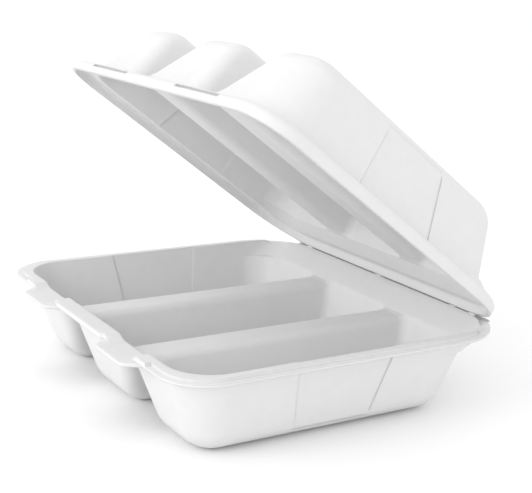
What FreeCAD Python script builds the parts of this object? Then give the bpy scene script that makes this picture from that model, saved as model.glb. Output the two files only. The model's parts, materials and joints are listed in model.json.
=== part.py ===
import FreeCAD, Part
import os
import re

# A hinged food container with three compartments, moulded from thin sheet.
# The tray stands on z = 0 with the plan centre of its rim over the origin.
# Latch tabs are at -Y, the hinge is at +Y and the compartments run along Y.

doc = FreeCAD.newDocument("FoamClamshell")

SIZES = {
    # Tray
    "width": 210.0,
    "depth": 180.0,
    "tray_height": 42.0,
    "sheet": 2.0,
    "wall_angle": 17.8,
    "rim_width": 7.0,
    "foot_round": 16.0,
    # Plan roundings: of the mouth, how much wider they get down a wall, and of the trimmed rim,
    # whose rear corners are rounded for a deeper rim that is then cut off along the hinge
    "mouth_front": 15.0,
    "mouth_rear": 15.0,
    "corner_growth": 7.0,
    "trim_front": 22.0,
    "trim_rear": 35.0,
    "trim_overrun": 2.5,
    # Slopes from the rear rims down to the rear walls, which stand in from them
    "rear_set": 8.6,
    "rear_angle": 56.0,
    "rear_round": 12.0,
    "lid_rear_set": 6.7,
    "lid_rear_angle": 62.0,
    # Outer band of the tray's rim, which the closed lid's skirt stands over
    "ledge_width": 2.7,
    "ledge_drop": 1.3,
    "ledge_thick": 1.3,
    "ledge_end": 72.0,
    # Dividers between the compartments, hollow from below
    "divider_place": 34.3,
    "divider_drop": 8.6,
    "divider_half": 8.8,
    "divider_angle": 17.0,
    "divider_round": 4.5,
    "pod_round": 7.0,
    # Dips in the front rim, the brow between them and the latch tabs
    "dip_place": 46.0,
    "dip_half": 12.0,
    "dip_run": 3.6,
    "dip_drop": 2.8,
    "dip_round": 4.0,
    "brow_reach": 1.4,
    "tab_root": 38.0,
    "tab_end": 26.0,
    "tab_reach": 6.0,
    "tab_round": 4.0,
    # Thinned panels in the side walls of the tray and the lid
    "panel_place": -4.0,
    "panel_half": 26.0,
    "panel_angle": 9.0,
    "panel_recess": 0.6,
    # Lid, measured upwards from its own lower edge while it is closed
    "lid_height": 44.3,
    "lid_overhang": 4.0,
    "dome_round": 14.0,
    "skirt_height": 6.5,
    "skirt_round": 4.0,
    "ridge_height": 9.2,
    "ridge_half": 9.2,
    "ridge_angle": 21.0,
    # Latch slots in the lid's front skirt
    "slot_width": 40.0,
    "slot_height": 1.4,
    "slot_place": 4.3,
    # Hinge line, and how far the lid is swung open from closed
    "hinge_drop": 1.0,
    "hinge_gap": 0.3,
    "open_angle": 36.4,
}

sheet = doc.addObject("Spreadsheet::Sheet", "Sizes")
for row, (alias, number) in enumerate(SIZES.items(), start=1):
    sheet.set(f"A{row}", alias)
    sheet.set(f"B{row}", str(number))
    sheet.setAlias(f"B{row}", alias)
doc.recompute()

# How far a cutter runs past the face that it cuts
SPARE = 2.0
# How far a block stops short of a face that it mustn't reach
SHORT = 0.5
# Two points nearer than this are the same
NEAR = 1e-4
ALIAS = re.compile(r"\b(" + "|".join(SIZES) + r")\b")
X_AXIS = FreeCAD.Vector(1, 0, 0)


def bind(item, **expressions):
    """Tie properties to expressions of the size names."""
    for name, text in expressions.items():
        item.setExpression(name.replace("_of_", "."), ALIAS.sub(r"Sizes.\1", text))


def value(text):
    """The number that an expression of the size names gives."""
    return float(sheet.evalExpression(ALIAS.sub(r"Sizes.\1", text)))


def block(name, low, high, x_low, y_low, x_high=None, y_high=None):
    """An upright block between two levels, with its (from, to) ranges at each."""
    x_high = x_high or x_low
    y_high = y_high or y_low
    item = doc.addObject("Part::Wedge", name)
    item.Placement.Rotation = FreeCAD.Rotation(X_AXIS, 90)
    bind(item, Ymin=low, Ymax=high)
    bind(item, Xmin=x_low[0], Xmax=x_low[1], X2min=x_high[0], X2max=x_high[1])
    bind(item, Zmin=f"-({y_low[1]})", Zmax=f"-({y_low[0]})")
    bind(item, Z2min=f"-({y_high[1]})", Z2max=f"-({y_high[0]})")
    return item


def tongue(name, place, root, end, reach, low, high):
    """A flat tongue that stands out of the front edge of the rim and narrows."""
    item = doc.addObject("Part::Wedge", name)
    bind(item, Ymin=f"-depth/2 - {reach}", Ymax="-depth/2 + ledge_width")
    bind(item, Xmin=f"{place} - {end}/2", Xmax=f"{place} + {end}/2")
    bind(item, X2min=f"{place} - {root}/2", X2max=f"{place} + {root}/2")
    bind(item, Zmin=low, Zmax=high, Z2min=low, Z2max=high)
    return item


def both(half, middle="0"):
    return (f"{middle} - ({half})", f"{middle} + ({half})")


def rounded(name, base, *rules):
    """The base with edges rounded. Each rule is a test for edges and their radius.

    A third entry is the radius at the upper end, for a rounding that widens.
    """
    doc.recompute()
    item = doc.addObject("Part::Fillet", name)
    item.Base = base
    chosen = []
    for wanted, radius, *upper in rules:
        low = value(radius)
        high = value(upper[0]) if upper else low
        for number, edge in enumerate(base.Shape.Edges, start=1):
            if not wanted(edge):
                continue
            starts_low = edge.Vertexes[0].Z <= edge.Vertexes[-1].Z
            chosen.append((number, low, high) if starts_low else (number, high, low))
    item.Edges = chosen
    return item


def join(name, *parts):
    item = doc.addObject("Part::MultiFuse", name)
    item.Shapes = list(parts)
    item.Refine = False
    return item


def cut(name, base, tool):
    item = doc.addObject("Part::Cut", name)
    item.Base = base
    item.Tool = tool
    item.Refine = False
    return item


def common(name, base, tool):
    item = doc.addObject("Part::Common", name)
    item.Base = base
    item.Tool = tool
    item.Refine = False
    return item


def upright(edge):
    """Whether an edge climbs, as the corner edges of a block do."""
    box = edge.BoundBox
    return box.ZLength > max(box.XLength, box.YLength)


def front_corner(edge):
    return upright(edge) and edge.BoundBox.YMax < 0


def rear_corner(edge):
    return upright(edge) and edge.BoundBox.YMin > 0


def rear_climb(edge):
    """Whether an edge in the rear half climbs at all, as the corners of a slope do."""
    return edge.BoundBox.YMin > NEAR and edge.BoundBox.ZLength > NEAR


def flat_at(text):
    """A test for edges that lie flat at a level."""
    level = value(text)
    return lambda edge: max(abs(edge.BoundBox.ZMin - level), abs(edge.BoundBox.ZMax - level)) < NEAR


def along_depth(edge):
    return edge.BoundBox.YLength > edge.BoundBox.XLength + edge.BoundBox.ZLength


def on_both(first, second):
    """A test for edges that lie where the faces of two objects meet."""
    doc.recompute()
    skins = [Part.Compound(item.Shape.Faces) for item in (first, second)]

    def test(edge):
        middle = Part.Vertex(edge.valueAt((edge.FirstParameter + edge.LastParameter) / 2))
        return all(middle.distToShape(skin)[0] < NEAR for skin in skins)

    return test


class Shell:
    """The drafted box with pods and valleys that the tray and the lid share.

    Depths run from the mouth of the box to the flat ends of its pods. The lip is where a
    slope starts down to the rear wall: its y, its depth, and a depth inside the rim there.
    """

    def __init__(self, name, level, half, front, back, lip, slope, flat, foot, crest, crest_half, angle):
        self.name = name
        self.level = level
        self.half = half
        self.front = front
        self.back = back
        self.lip = lip
        self.slope = slope
        self.flat = flat
        self.foot = foot
        self.crest = crest
        self.crest_half = crest_half
        self.angle = angle

    def between(self, start, end):
        """Two depths as a lower and a higher level, and whether the box opens upwards."""
        levels = (self.level(start), self.level(end))
        opens_up = value(levels[0]) > value(levels[1])
        return (levels[::-1] if opens_up else levels), opens_up

    def tapered(self, name, start, end, ranges):
        """A block from one depth to another, with ranges(depth) giving its x and y."""
        (low, high), opens_up = self.between(start, end)
        ends = (ranges(end), ranges(start)) if opens_up else (ranges(start), ranges(end))
        return block(name, low, high, *ends[0], *ends[1])

    def wall(self, reach, inset, depth):
        """Where a wall's face lies at a depth, for a face this far inside the outer one."""
        return f"({reach} - {inset}/cos(wall_angle) - ({depth})*tan(wall_angle))"

    def skin(self, kind, inset, start):
        """The solid inside one face of the sheet, with its valleys and roundings."""
        name = f"{self.name}_{kind}"

        def box(depth):
            reach = self.wall(self.half, inset, depth)
            y_range = (f"-{self.wall(self.front, inset, depth)}", self.wall(self.back, inset, depth))
            return both(reach), y_range

        flat = f"{self.flat} - {inset}"
        body = self.tapered(f"{name}_box", start, flat, box)
        opens_up = self.between(start, flat)[1]
        rules = []
        for corner, radius in ((front_corner, "mouth_front"), (rear_corner, "mouth_rear")):
            ends = (f"{radius} + sheet - {inset}", f"{radius} + sheet - {inset} + corner_growth")
            rules.append((corner, *(ends[::-1] if opens_up else ends)))
        body = rounded(f"{name}_corners", body, *rules)
        body = rounded(f"{name}_foot", body, (flat_at(self.level(flat)), f"{self.foot} - {inset}"))
        valleys = join(f"{name}_valleys", *[self.valley(name, inset, side) for side in ("-", "")])
        meet = on_both(body, valleys)
        body = cut(f"{name}_cut", body, valleys)
        return rounded(f"{name}_pods", body, (meet, f"pod_round - {inset}"))

    def valley(self, name, inset, side):
        """The hollow of one divider, along the whole depth, with a rounded crest."""
        label = "left" if side else "right"
        crest = f"{self.crest} + sheet - {inset}"

        def trough(depth):
            rise = f"({depth} - ({self.crest}))*tan({self.angle})"
            half = f"{self.crest_half} + {rise} - (sheet - {inset})/cos({self.angle})"
            return both(half, f"{side}divider_place"), both("depth")

        item = self.tapered(f"{name}_valley_{label}", crest, f"{self.flat} + {SPARE}", trough)
        top = flat_at(self.level(crest))
        crests = (lambda edge: top(edge) and along_depth(edge), f"divider_round - sheet + {inset}")
        return rounded(f"{name}_crest_{label}", item, crests)

    def rear_slope(self, kind, inset):
        """The body under the slope from the rim's inner edge down to the rear wall."""
        lip_back, lip_depth, covered = self.lip
        start = covered if kind == "outer" else f"{lip_depth} - sheet/2"
        end = f"{self.crest} + sheet - {inset} - {SHORT}"

        def body(depth):
            fall = f"(({depth}) - ({lip_depth}))*tan({self.slope})"
            back = f"{lip_back} + (sheet - {inset})/cos({self.slope}) - {fall}"
            return both(self.wall(self.half, inset, depth)), ("0", back)

        name = f"{self.name}_{kind}_slope"
        item = self.tapered(f"{name}_block", f"{start} - rear_round", f"{end} + rear_round", body)
        item = rounded(f"{name}_round", item, (rear_climb, f"rear_round + sheet - {inset}"))
        layer = self.tapered(f"{name}_slice", start, end, lambda depth: (both(self.half), both("depth")))
        return common(name, item, layer)

    def panel(self, kind, inset, start, outwards, side):
        """A slab as thick as the recess over the middle of one side wall."""
        label = "left" if side else "right"

        def slab(depth):
            face = self.wall(self.half, inset, depth)
            near = f"{face} - {SPARE}" if outwards else f"{face} - panel_recess"
            far = f"{face} + panel_recess" if outwards else f"{face} + {SPARE}"
            x_range = (f"-({far})", f"-({near})") if side else (near, far)
            return x_range, both(f"panel_half - ({depth})*tan(panel_angle)", "panel_place")

        end = f"{self.flat} - {self.foot}/3"
        return self.tapered(f"{self.name}_{kind}_panel_{label}", start, end, slab)

    def solids(self, outer_start, inner_start):
        """The solid inside the outer face, and the hollow that is cut from it."""
        outer = self.skin("outer", "0", outer_start)
        outer = join(f"{self.name}_outer", outer, self.rear_slope("outer", "0"))
        inner = self.skin("inner", "sheet", inner_start)
        inner = join(f"{self.name}_inner", inner, self.rear_slope("inner", "sheet"))
        dents = [self.panel("outer", "0", outer_start, False, side) for side in ("-", "")]
        bays = [self.panel("inner", "sheet", inner_start, True, side) for side in ("-", "")]
        outer = cut(f"{self.name}_outside", outer, join(f"{self.name}_dents", *dents))
        return outer, join(f"{self.name}_inside", inner, *bays)


def trimmed(inset):
    """The plan roundings of the rim, this far inside its edge."""
    return [(front_corner, f"trim_front - {inset}"), (rear_corner, f"trim_rear - {inset}")]


def make_rim():
    """The tray's flat rim, stepped down along its outer band except at the front."""
    top = "tray_height"
    under = "tray_height - ledge_drop - ledge_thick"
    above = f"tray_height + {SPARE}"
    plate = block("rim_block", under, top, both("width/2"), ("-depth/2", "depth/2 + trim_overrun"))
    plate = rounded("rim_corners", plate, *trimmed("0"))
    beyond = ("depth/2", f"depth/2 + trim_overrun + {SPARE}")
    crease = block("rim_crease", under, above, both(f"width/2 + {SPARE}"), beyond)
    plate = cut("rim_plate", plate, crease)
    step = "tray_height - ledge_drop"
    band = block("ledge_block", step, above, both(f"width/2 + {SPARE}"), both(f"depth/2 + {SPARE}"))
    inside = block("ledge_inner", step, above, both("width/2 - ledge_width"), both("depth/2 - ledge_width"))
    inside = rounded("ledge_inner_corners", inside, *trimmed("ledge_width"))
    front = ("-depth/2 - tab_reach", "-depth/2 + rim_width")
    level_part = block("ledge_front", step, above, both("ledge_end"), front)
    band = cut("ledge_band", band, join("ledge_kept", inside, level_part))
    return cut("rim", plate, band)


def make_shelf(side):
    """The sheet under one dip of the front rim."""
    low = "tray_height - dip_drop - sheet"
    fall = "dip_run*(dip_drop + sheet)/dip_drop"
    place = f"{side}dip_place"
    y_range = ("-depth/2", "-depth/2 + rim_width")
    label = "left" if side else "right"
    return block(
        f"shelf_{label}",
        low,
        "tray_height",
        both("dip_half", place),
        y_range,
        both(f"dip_half + {fall}", place),
        y_range,
    )


def make_dip(side):
    """What is cut away above one dip, with ramps at both ends."""
    fall = f"dip_run*(dip_drop + {SPARE})/dip_drop"
    place = f"{side}dip_place"
    y_range = ("-depth/2 - tab_reach", "-depth/2 + rim_width + sheet")
    label = "left" if side else "right"
    item = block(
        f"dip_{label}",
        "tray_height - dip_drop",
        f"tray_height + {SPARE}",
        both("dip_half", place),
        y_range,
        both(f"dip_half + {fall}", place),
        y_range,
    )
    low = flat_at("tray_height - dip_drop")
    return rounded(f"dip_round_{label}", item, (lambda edge: low(edge) and along_depth(edge), "dip_round"))


def make_tab(side):
    """One latch tab, as low and as thick as the dip that it stands out of."""
    label = "left" if side else "right"
    low = "tray_height - dip_drop - sheet"
    high = "tray_height - dip_drop"
    item = tongue(f"tab_{label}", f"{side}dip_place", "tab_root", "tab_end", "tab_reach", low, high)
    front = value("-depth/2")
    ends = (lambda edge: upright(edge) and edge.BoundBox.YMax < front, "tab_round")
    return rounded(f"tab_round_{label}", item, ends)


def make_tray():
    """The lower half: shell, rim, latch tabs and brow."""
    shell = Shell(
        "tray",
        level=lambda depth: f"tray_height - ({depth})",
        half="width/2 - rim_width + sheet/cos(wall_angle)",
        front="depth/2 - rim_width + sheet/cos(wall_angle)",
        back="depth/2 - rim_width - rear_set + sheet/cos(wall_angle)",
        lip=("depth/2 - rim_width", "0", "ledge_drop + ledge_thick/2"),
        slope="rear_angle",
        flat="tray_height",
        foot="foot_round",
        crest="divider_drop",
        crest_half="divider_half",
        angle="divider_angle",
    )
    outer, inner = shell.solids("0", f"-{SPARE}")
    brow_width = "(2*(dip_place - dip_half - dip_run))"
    brow = tongue(
        "brow",
        "0",
        brow_width,
        f"({brow_width} - 2*dip_run)",
        "brow_reach",
        "tray_height - ledge_drop - ledge_thick",
        "tray_height",
    )
    sides = ("-", "")
    shelves = [make_shelf(side) for side in sides]
    tabs = [make_tab(side) for side in sides]
    whole = join("tray_whole", outer, make_rim(), brow, *shelves, *tabs)
    hollow = join("tray_hollow", inner, *[make_dip(side) for side in sides])
    tray = cut("base_tray", whole, hollow)
    tray.Label = "base_tray"
    return tray


def make_lid():
    """The upper half, built closed over the tray and then swung about the hinge."""
    floor = "(tray_height - hinge_drop)"

    def level(depth):
        return f"{floor} + ({depth})"

    lid_lip = "depth/2 - rim_width - sheet/cos(wall_angle) - (skirt_height - sheet)*tan(wall_angle)"
    shell = Shell(
        "lid",
        level=level,
        half="width/2 - rim_width",
        front="depth/2 + lid_overhang - rim_width",
        back="depth/2 - rim_width - lid_rear_set",
        lip=(lid_lip, "skirt_height - sheet", "skirt_height - sheet/2"),
        slope="lid_rear_angle",
        flat="lid_height",
        foot="dome_round",
        crest="ridge_height",
        crest_half="ridge_half",
        angle="ridge_angle",
    )
    outer, inner = shell.solids("skirt_height/2", "0")

    def skirt(name, inset, start):
        high = level(f"skirt_height - {inset}")
        reach = (f"-depth/2 - lid_overhang + {inset}", f"depth/2 - hinge_gap - {inset}")
        item = block(f"{name}_block", level(start), high, both(f"width/2 - {inset}"), reach)
        item = rounded(f"{name}_corners", item, *trimmed(inset))
        return rounded(name, item, (flat_at(high), f"skirt_round - {inset}"))

    rim = skirt("skirt", "0", "0")
    under = skirt("skirt_hollow", "sheet", f"-{SPARE}")
    slots = [
        block(
            f"slot_{label}",
            level("slot_place - slot_height/2"),
            level("slot_place + slot_height/2"),
            both("slot_width/2", f"{side}dip_place"),
            (f"-depth/2 - lid_overhang - {SPARE}", "-depth/2 - lid_overhang + 2*sheet"),
        )
        for side, label in (("-", "left"), ("", "right"))
    ]
    lid = cut("lid", join("lid_whole", outer, rim), join("lid_hollow", inner, under, *slots))
    lid.Label = "lid"
    lid.Placement.Rotation = FreeCAD.Rotation(-X_AXIS, value("open_angle"))
    swing = {
        "Placement_of_Rotation_of_Angle": "open_angle",
        "Placement_of_Base_of_y": f"depth/2*(1 - cos(open_angle)) - {floor}*sin(open_angle)",
        "Placement_of_Base_of_z": f"{floor}*(1 - cos(open_angle)) + depth/2*sin(open_angle)",
    }
    bind(lid, **swing)
    return lid


nodes = [make_tray(), make_lid()]
doc.recompute()

for item in doc.Objects:
    if "Invalid" in item.State or "Error" in item.State:
        raise RuntimeError(f"{item.Name} is {item.State}")
for node in nodes:
    if node.Shape.isNull() or not node.Shape.isValid():
        raise RuntimeError(f"{node.Label} has no valid shape")

os.makedirs("parts", exist_ok=True)
for node in nodes:
    node.Shape.exportStep(f"parts/{node.Label}.step")
    box = node.Shape.BoundBox
    print(node.Label, len(node.Shape.Solids), round(node.Shape.Volume), box)
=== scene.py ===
import json
import math

import bmesh
import bpy
from mathutils import Matrix, Vector


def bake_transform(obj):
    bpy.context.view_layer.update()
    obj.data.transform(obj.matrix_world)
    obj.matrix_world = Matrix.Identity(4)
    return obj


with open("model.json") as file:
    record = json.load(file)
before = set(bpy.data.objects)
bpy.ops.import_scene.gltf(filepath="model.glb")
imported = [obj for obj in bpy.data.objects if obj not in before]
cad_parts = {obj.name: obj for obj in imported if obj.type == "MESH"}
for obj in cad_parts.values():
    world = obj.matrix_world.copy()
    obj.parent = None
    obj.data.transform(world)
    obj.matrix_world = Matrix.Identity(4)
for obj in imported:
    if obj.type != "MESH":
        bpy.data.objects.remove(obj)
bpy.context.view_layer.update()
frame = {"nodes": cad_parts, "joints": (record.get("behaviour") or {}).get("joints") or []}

MM = 0.001


def grey(level):
    return (level, level, level, 1.0)


# Colours: each material's noise goes from its dark to its light
SHEET_DARK = grey(0.73)
SHEET_LIGHT = grey(0.75)
# The crease web is painted darker than the sheet: painted shade of the deep hinge gap, over a
# faint random mottle
CREASE_SHADE_DARK = grey(0.6)
CREASE_SHADE_LIGHT = grey(0.72)
FLOOR_DARK = grey(0.94)
FLOOR_LIGHT = grey(0.95)

# Gloss: the sheet's roughness varies between two values, and the floor has no shine
SHEET_ROUGHNESS = (0.45, 0.6)
SHEET_SPECULAR = 0.35
FLOOR_ROUGHNESS = 0.9
FLOOR_SPECULAR = 0.0

# How wide the material rounds the look of the sheet's edges, and how finely it samples them
EDGE_ROUND = 1.2 * MM
EDGE_SAMPLES = 8

# How the modifiers soften the CAD nodes: only edges sharper than the angle are bevelled
WELD_GAP = 0.01 * MM
BEVEL_WIDTH = 0.45 * MM
BEVEL_SEGMENTS = 3
BEVEL_ANGLE = math.radians(35)
NORMAL_WEIGHT = 80

# The hinge line and how far the lid is open at rest: the joint's lower limit is closed
JOINT = frame["joints"][0]
HINGE = Vector(JOINT["pos_m"])
OPENING = math.radians(-JOINT["range_deg"][0])

# The crease: a web from the tray's rim to the lid's lower edge, with short slits through it.
# In mm, its ends and the middles of its slits along x, and about how long its faces are
CREASE_START = -86.0
CREASE_END = 86.0
CREASE_SLITS = (-75.0, -6.0, 57.5, 72.5)
SLIT_LENGTH = 5.4
CREASE_STEP = 4.0
CREASE_LEAST_STEPS = 2

# The web's section in mm from the hinge line. Points on the tray's side are (y, z),
# and points on the lid's side are (along the lid's plane, below it)
CREASE_LAP = 2.1
TRAY_INSIDE = ((-CREASE_LAP, -0.2), (-0.7, -0.2), (-0.15, -0.08))
LID_INSIDE = ((0.6, 0.16), (CREASE_LAP, 0.16))
LID_OUTSIDE = ((CREASE_LAP, 0.03), (0.3, 0.03))
TRAY_OUTSIDE = ((0.22, 0.05), (0.2, -0.2), (-0.1, -0.28), (-CREASE_LAP, -0.28))

# Camera, from the photograph's perspective: degrees, metres, and mm for the lens and sensor
CAMERA_AZIMUTH = 58.319
CAMERA_ELEVATION = 14.0
CAMERA_ROLL = 2.275
CAMERA_DISTANCE = 0.59142
CAMERA_TARGET = Vector((0.0, 0.012, 0.06624))
CAMERA_LENS = 77.95
CAMERA_SENSOR = 36

# Soft studio light: places and widths in metres, power in watts
LAMPS = {
    "key": {"place": (0.0, -1.95, 0.95), "width": 1.4, "power": 12.4},
    "fill": {"place": (1.3, -1.3, 0.9), "width": 1.0, "power": 1.6},
}
LAMP_AIM = (0.0, 0.0, 0.06)
WORLD_LIGHT = 1.0

# Lifts the pale floor to white
EXPOSURE = 0.1

# The floor is a wide disc, a hair below the feet
FLOOR_RADIUS = 6
FLOOR_SIDES = 96
FLOOR_DROP = 0.2 * MM


def link(obj):
    bpy.context.scene.collection.objects.link(obj)
    return obj


class Graph:
    """A short way to add nodes to a material and join them."""

    def __init__(self, name):
        self.material = bpy.data.materials.new(name)
        self.material.use_nodes = True
        self.tree = self.material.node_tree
        self.shader = self.tree.nodes["Principled BSDF"]
        self.place = self.add("ShaderNodeTexCoord").outputs["Object"]

    def add(self, kind, **settings):
        node = self.tree.nodes.new(kind)
        for name, setting in settings.items():
            setattr(node, name, setting)
        return node

    def join(self, source, target):
        self.tree.links.new(source, target)

    def noise(self, scale, detail, rough=0.5):
        """Noise at so many features to the metre."""
        node = self.add("ShaderNodeTexNoise")
        node.inputs["Scale"].default_value = scale
        node.inputs["Detail"].default_value = detail
        node.inputs["Roughness"].default_value = rough
        self.join(self.place, node.inputs["Vector"])
        return node.outputs["Fac"]

    def ramp(self, source, dark, light):
        """A colour from dark to light between two stops, each a position and a colour."""
        node = self.add("ShaderNodeValToRGB")
        for element, (position, colour) in zip(node.color_ramp.elements, (dark, light)):
            element.position = position
            element.color = colour
        self.join(source, node.inputs["Fac"])
        return node.outputs["Color"]

    def spread(self, source, low, high):
        """The source's 0 to 1 spread over another range."""
        node = self.add("ShaderNodeMapRange")
        node.inputs["To Min"].default_value = low
        node.inputs["To Max"].default_value = high
        self.join(source, node.inputs["Value"])
        return node.outputs["Result"]

    def soft_edges(self, radius):
        """A normal that rounds the look of edges."""
        node = self.add("ShaderNodeBevel", samples=EDGE_SAMPLES)
        node.inputs["Radius"].default_value = radius
        return node.outputs["Normal"]

    def relief(self, height, distance, strength, normal=None):
        """A bump by the height, on top of another normal where one is given."""
        node = self.add("ShaderNodeBump")
        node.inputs["Distance"].default_value = distance
        node.inputs["Strength"].default_value = strength
        self.join(height, node.inputs["Height"])
        if normal:
            self.join(normal, node.inputs["Normal"])
        return node.outputs["Normal"]


def moulded_sheet(name, dark, light, edges=None):
    """Smooth white moulded sheet: a faint mottle, a fine skin and slight waviness."""
    graph = Graph(name)
    mottle = graph.noise(scale=140, detail=5, rough=0.65)
    colour = graph.ramp(mottle, dark=(0.3, dark), light=(0.65, light))
    graph.join(colour, graph.shader.inputs["Base Color"])
    gloss = graph.spread(graph.noise(scale=420, detail=4), *SHEET_ROUGHNESS)
    graph.join(gloss, graph.shader.inputs["Roughness"])
    graph.shader.inputs["Specular IOR Level"].default_value = SHEET_SPECULAR
    rounded = graph.soft_edges(edges) if edges else None
    waves = graph.noise(scale=24, detail=2)
    wavy = graph.relief(waves, distance=0.5 * MM, strength=0.14, normal=rounded)
    cells = graph.noise(scale=700, detail=3, rough=0.6)
    skin = graph.relief(cells, distance=0.04 * MM, strength=0.3, normal=wavy)
    grain = graph.noise(scale=2600, detail=2)
    surface = graph.relief(grain, distance=0.02 * MM, strength=0.35, normal=skin)
    graph.join(surface, graph.shader.inputs["Normal"])
    return graph.material


def dress_nodes(material):
    """The CAD nodes keep their shape; their small edges are softened."""
    for node in frame["nodes"].values():
        node.data.materials.clear()
        node.data.materials.append(material)
        weld = node.modifiers.new("weld", "WELD")
        weld.merge_threshold = WELD_GAP
        bevel = node.modifiers.new("soft_edges", "BEVEL")
        bevel.width = BEVEL_WIDTH
        bevel.segments = BEVEL_SEGMENTS
        bevel.limit_method = "ANGLE"
        bevel.angle_limit = BEVEL_ANGLE
        weighted = node.modifiers.new("even_normals", "WEIGHTED_NORMAL")
        weighted.mode = "FACE_AREA_WITH_ANGLE"
        weighted.weight = NORMAL_WEIGHT


def crease_section():
    """The web's outline as (y, z) in mm from the hinge line, in the pose at rest."""
    cos, sin = math.cos(OPENING), math.sin(OPENING)

    def at_lid(points):
        return [(-along * cos - below * sin, along * sin - below * cos) for along, below in points]

    return [*TRAY_INSIDE, *at_lid(LID_INSIDE), *at_lid(LID_OUTSIDE), *TRAY_OUTSIDE]


def crease_ring(mesh, x):
    """The corners of the web's section at one place along it."""
    return [
        mesh.verts.new((x * MM, HINGE.y + y * MM, HINGE.z + z * MM))
        for y, z in crease_section()
    ]


def crease_piece(name, start, end, material):
    """One length of the crease, between slits or from a slit to an end."""
    mesh = bmesh.new()
    steps = max(CREASE_LEAST_STEPS, round((end - start) / CREASE_STEP))
    rings = [crease_ring(mesh, start + (end - start) * step / steps) for step in range(steps + 1)]
    for ring, after in zip(rings, rings[1:]):
        for i in range(len(ring)):
            j = (i + 1) % len(ring)
            mesh.faces.new((ring[i], ring[j], after[j], after[i]))
    mesh.faces.new(rings[0][::-1])
    mesh.faces.new(rings[-1])
    bmesh.ops.recalc_face_normals(mesh, faces=mesh.faces)
    data = bpy.data.meshes.new(name)
    mesh.to_mesh(data)
    mesh.free()
    data.materials.append(material)
    piece = link(bpy.data.objects.new(name, data))
    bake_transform(piece)


def make_crease():
    """The crease from end to end, one piece for each length that the slits leave."""
    # Painted shade: the web's grey is darker than the sheet's, standing in for the shade inside
    # the hinge gap
    material = moulded_sheet("crease_painted_shade", CREASE_SHADE_DARK, CREASE_SHADE_LIGHT)
    starts = [CREASE_START] + [slit + SLIT_LENGTH / 2 for slit in CREASE_SLITS]
    ends = [slit - SLIT_LENGTH / 2 for slit in CREASE_SLITS] + [CREASE_END]
    for number, (start, end) in enumerate(zip(starts, ends), start=1):
        crease_piece(f"crease_{number}", start, end, material)


def make_camera():
    """The camera at the photograph's viewing angle."""
    azimuth = math.radians(CAMERA_AZIMUTH)
    elevation = math.radians(CAMERA_ELEVATION)
    back = Vector((
        math.sin(azimuth) * math.cos(elevation),
        -math.cos(azimuth) * math.cos(elevation),
        math.sin(elevation),
    ))
    camera = link(bpy.data.objects.new("camera", bpy.data.cameras.new("camera")))
    camera.data.lens = CAMERA_LENS
    camera.data.sensor_width = CAMERA_SENSOR
    camera.location = CAMERA_TARGET + back * CAMERA_DISTANCE
    turn = (-back).to_track_quat("-Z", "Y").to_matrix()
    roll = Matrix.Rotation(math.radians(CAMERA_ROLL), 3, "Z")
    camera.rotation_euler = (turn @ roll).to_euler()
    bpy.context.scene.camera = camera


def make_light(name, place, width, power):
    """A soft round lamp that faces the object."""
    light = bpy.data.lights.new(name, "AREA")
    light.shape = "DISK"
    light.size = width
    light.energy = power
    lamp = link(bpy.data.objects.new(name, light))
    lamp.location = place
    lamp.rotation_euler = (Vector(LAMP_AIM) - Vector(place)).to_track_quat("-Z", "Y").to_euler()


def make_world():
    """Even white light from all sides."""
    world = bpy.data.worlds.new("studio")
    world.use_nodes = True
    sky = world.node_tree.nodes["Background"]
    sky.inputs["Color"].default_value = grey(1.0)
    sky.inputs["Strength"].default_value = WORLD_LIGHT
    bpy.context.scene.world = world


def floor_paint():
    """A plain pale studio floor."""
    graph = Graph("floor_paint")
    clouds = graph.noise(scale=3, detail=2)
    tint = graph.ramp(clouds, dark=(0.2, FLOOR_DARK), light=(0.8, FLOOR_LIGHT))
    graph.join(tint, graph.shader.inputs["Base Color"])
    graph.shader.inputs["Roughness"].default_value = FLOOR_ROUGHNESS
    graph.shader.inputs["Specular IOR Level"].default_value = FLOOR_SPECULAR
    return graph.material


def make_floor():
    bpy.ops.mesh.primitive_circle_add(vertices=FLOOR_SIDES, radius=FLOOR_RADIUS, fill_type="NGON")
    floor = bpy.context.object
    floor.name = "floor"
    floor.location.z = -FLOOR_DROP
    floor.data.materials.append(floor_paint())


def make_studio():
    """Plain soft light and a plain floor, in unaltered colours a little brightened."""
    view = bpy.context.scene.view_settings
    view.view_transform = "Standard"
    view.look = "None"
    view.exposure = EXPOSURE
    make_world()
    for name, lamp in LAMPS.items():
        make_light(name, **lamp)
    make_floor()


dress_nodes(moulded_sheet("moulded_sheet", SHEET_DARK, SHEET_LIGHT, edges=EDGE_ROUND))
make_crease()
make_camera()
make_studio()
